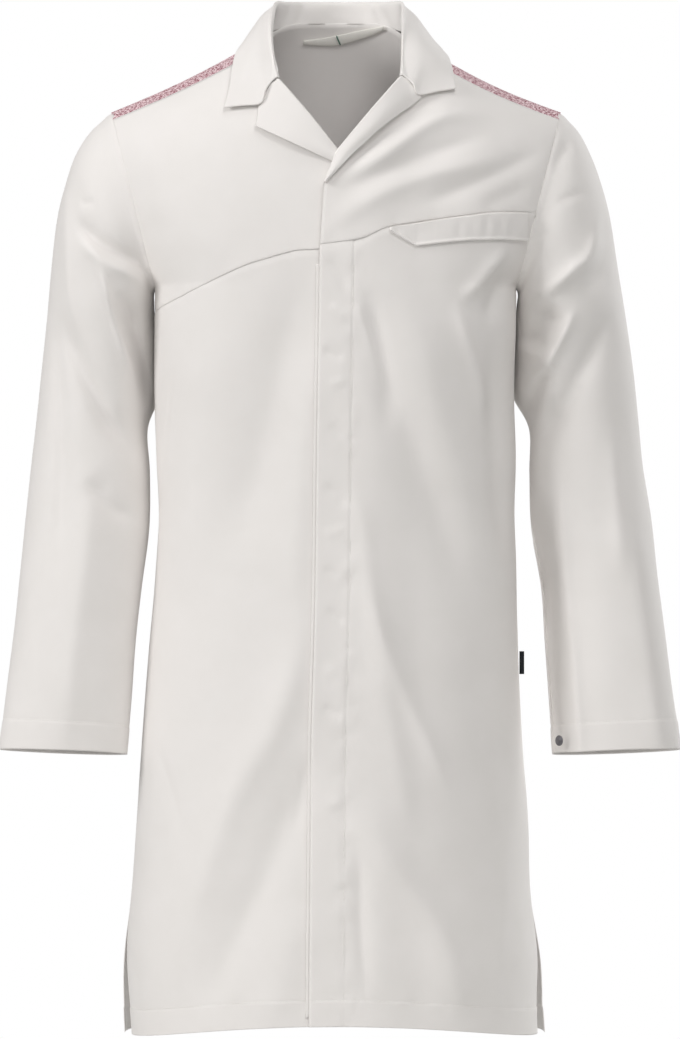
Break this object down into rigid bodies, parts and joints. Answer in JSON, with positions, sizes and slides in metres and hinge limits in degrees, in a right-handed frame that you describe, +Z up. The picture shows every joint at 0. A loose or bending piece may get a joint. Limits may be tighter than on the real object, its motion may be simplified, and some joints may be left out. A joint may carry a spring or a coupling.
{
  "type": "dust coat",
  "caption": "Knee-length work coat with long sleeves, a turned-down collar with lapels, a concealed front lap, a chest pocket flap and side vents, filled out as worn.",
  "frame": {"origin": "middle of the neck opening, level with the tops of the shoulder seams, where the wearer's neck and shoulders hold the coat up", "axes": "+Z up, -Y the way the coat faces, +X to the wearer's left"},
  "size_m": [0.713, 0.2737, 1.09],
  "materials": {
    "twill": "matt white polyester-cotton twill",
    "printed_twill": "white twill with a fine crimson fleck print",
    "loop_tape": "white woven tape",
    "dark_tape": "dark woven tape, plain",
    "stud_metal": "dark nickel, satin"
  },
  "bodies": {
    "root": {"back": "twill", "front_left": "twill", "front_right": "twill", "yoke_left": "twill", "yoke_right": "twill", "shoulder_insert_left": "printed_twill", "shoulder_insert_right": "printed_twill", "fly_strip": "twill", "pocket_flap": "twill", "lapel_left": "twill", "lapel_right": "twill", "collar": "twill", "sleeve_left": "twill", "sleeve_right": "twill", "hanging_loop": "loop_tape", "side_tab": "dark_tape", "cuff_stud": "stud_metal"}
  },
  "joints": []
}
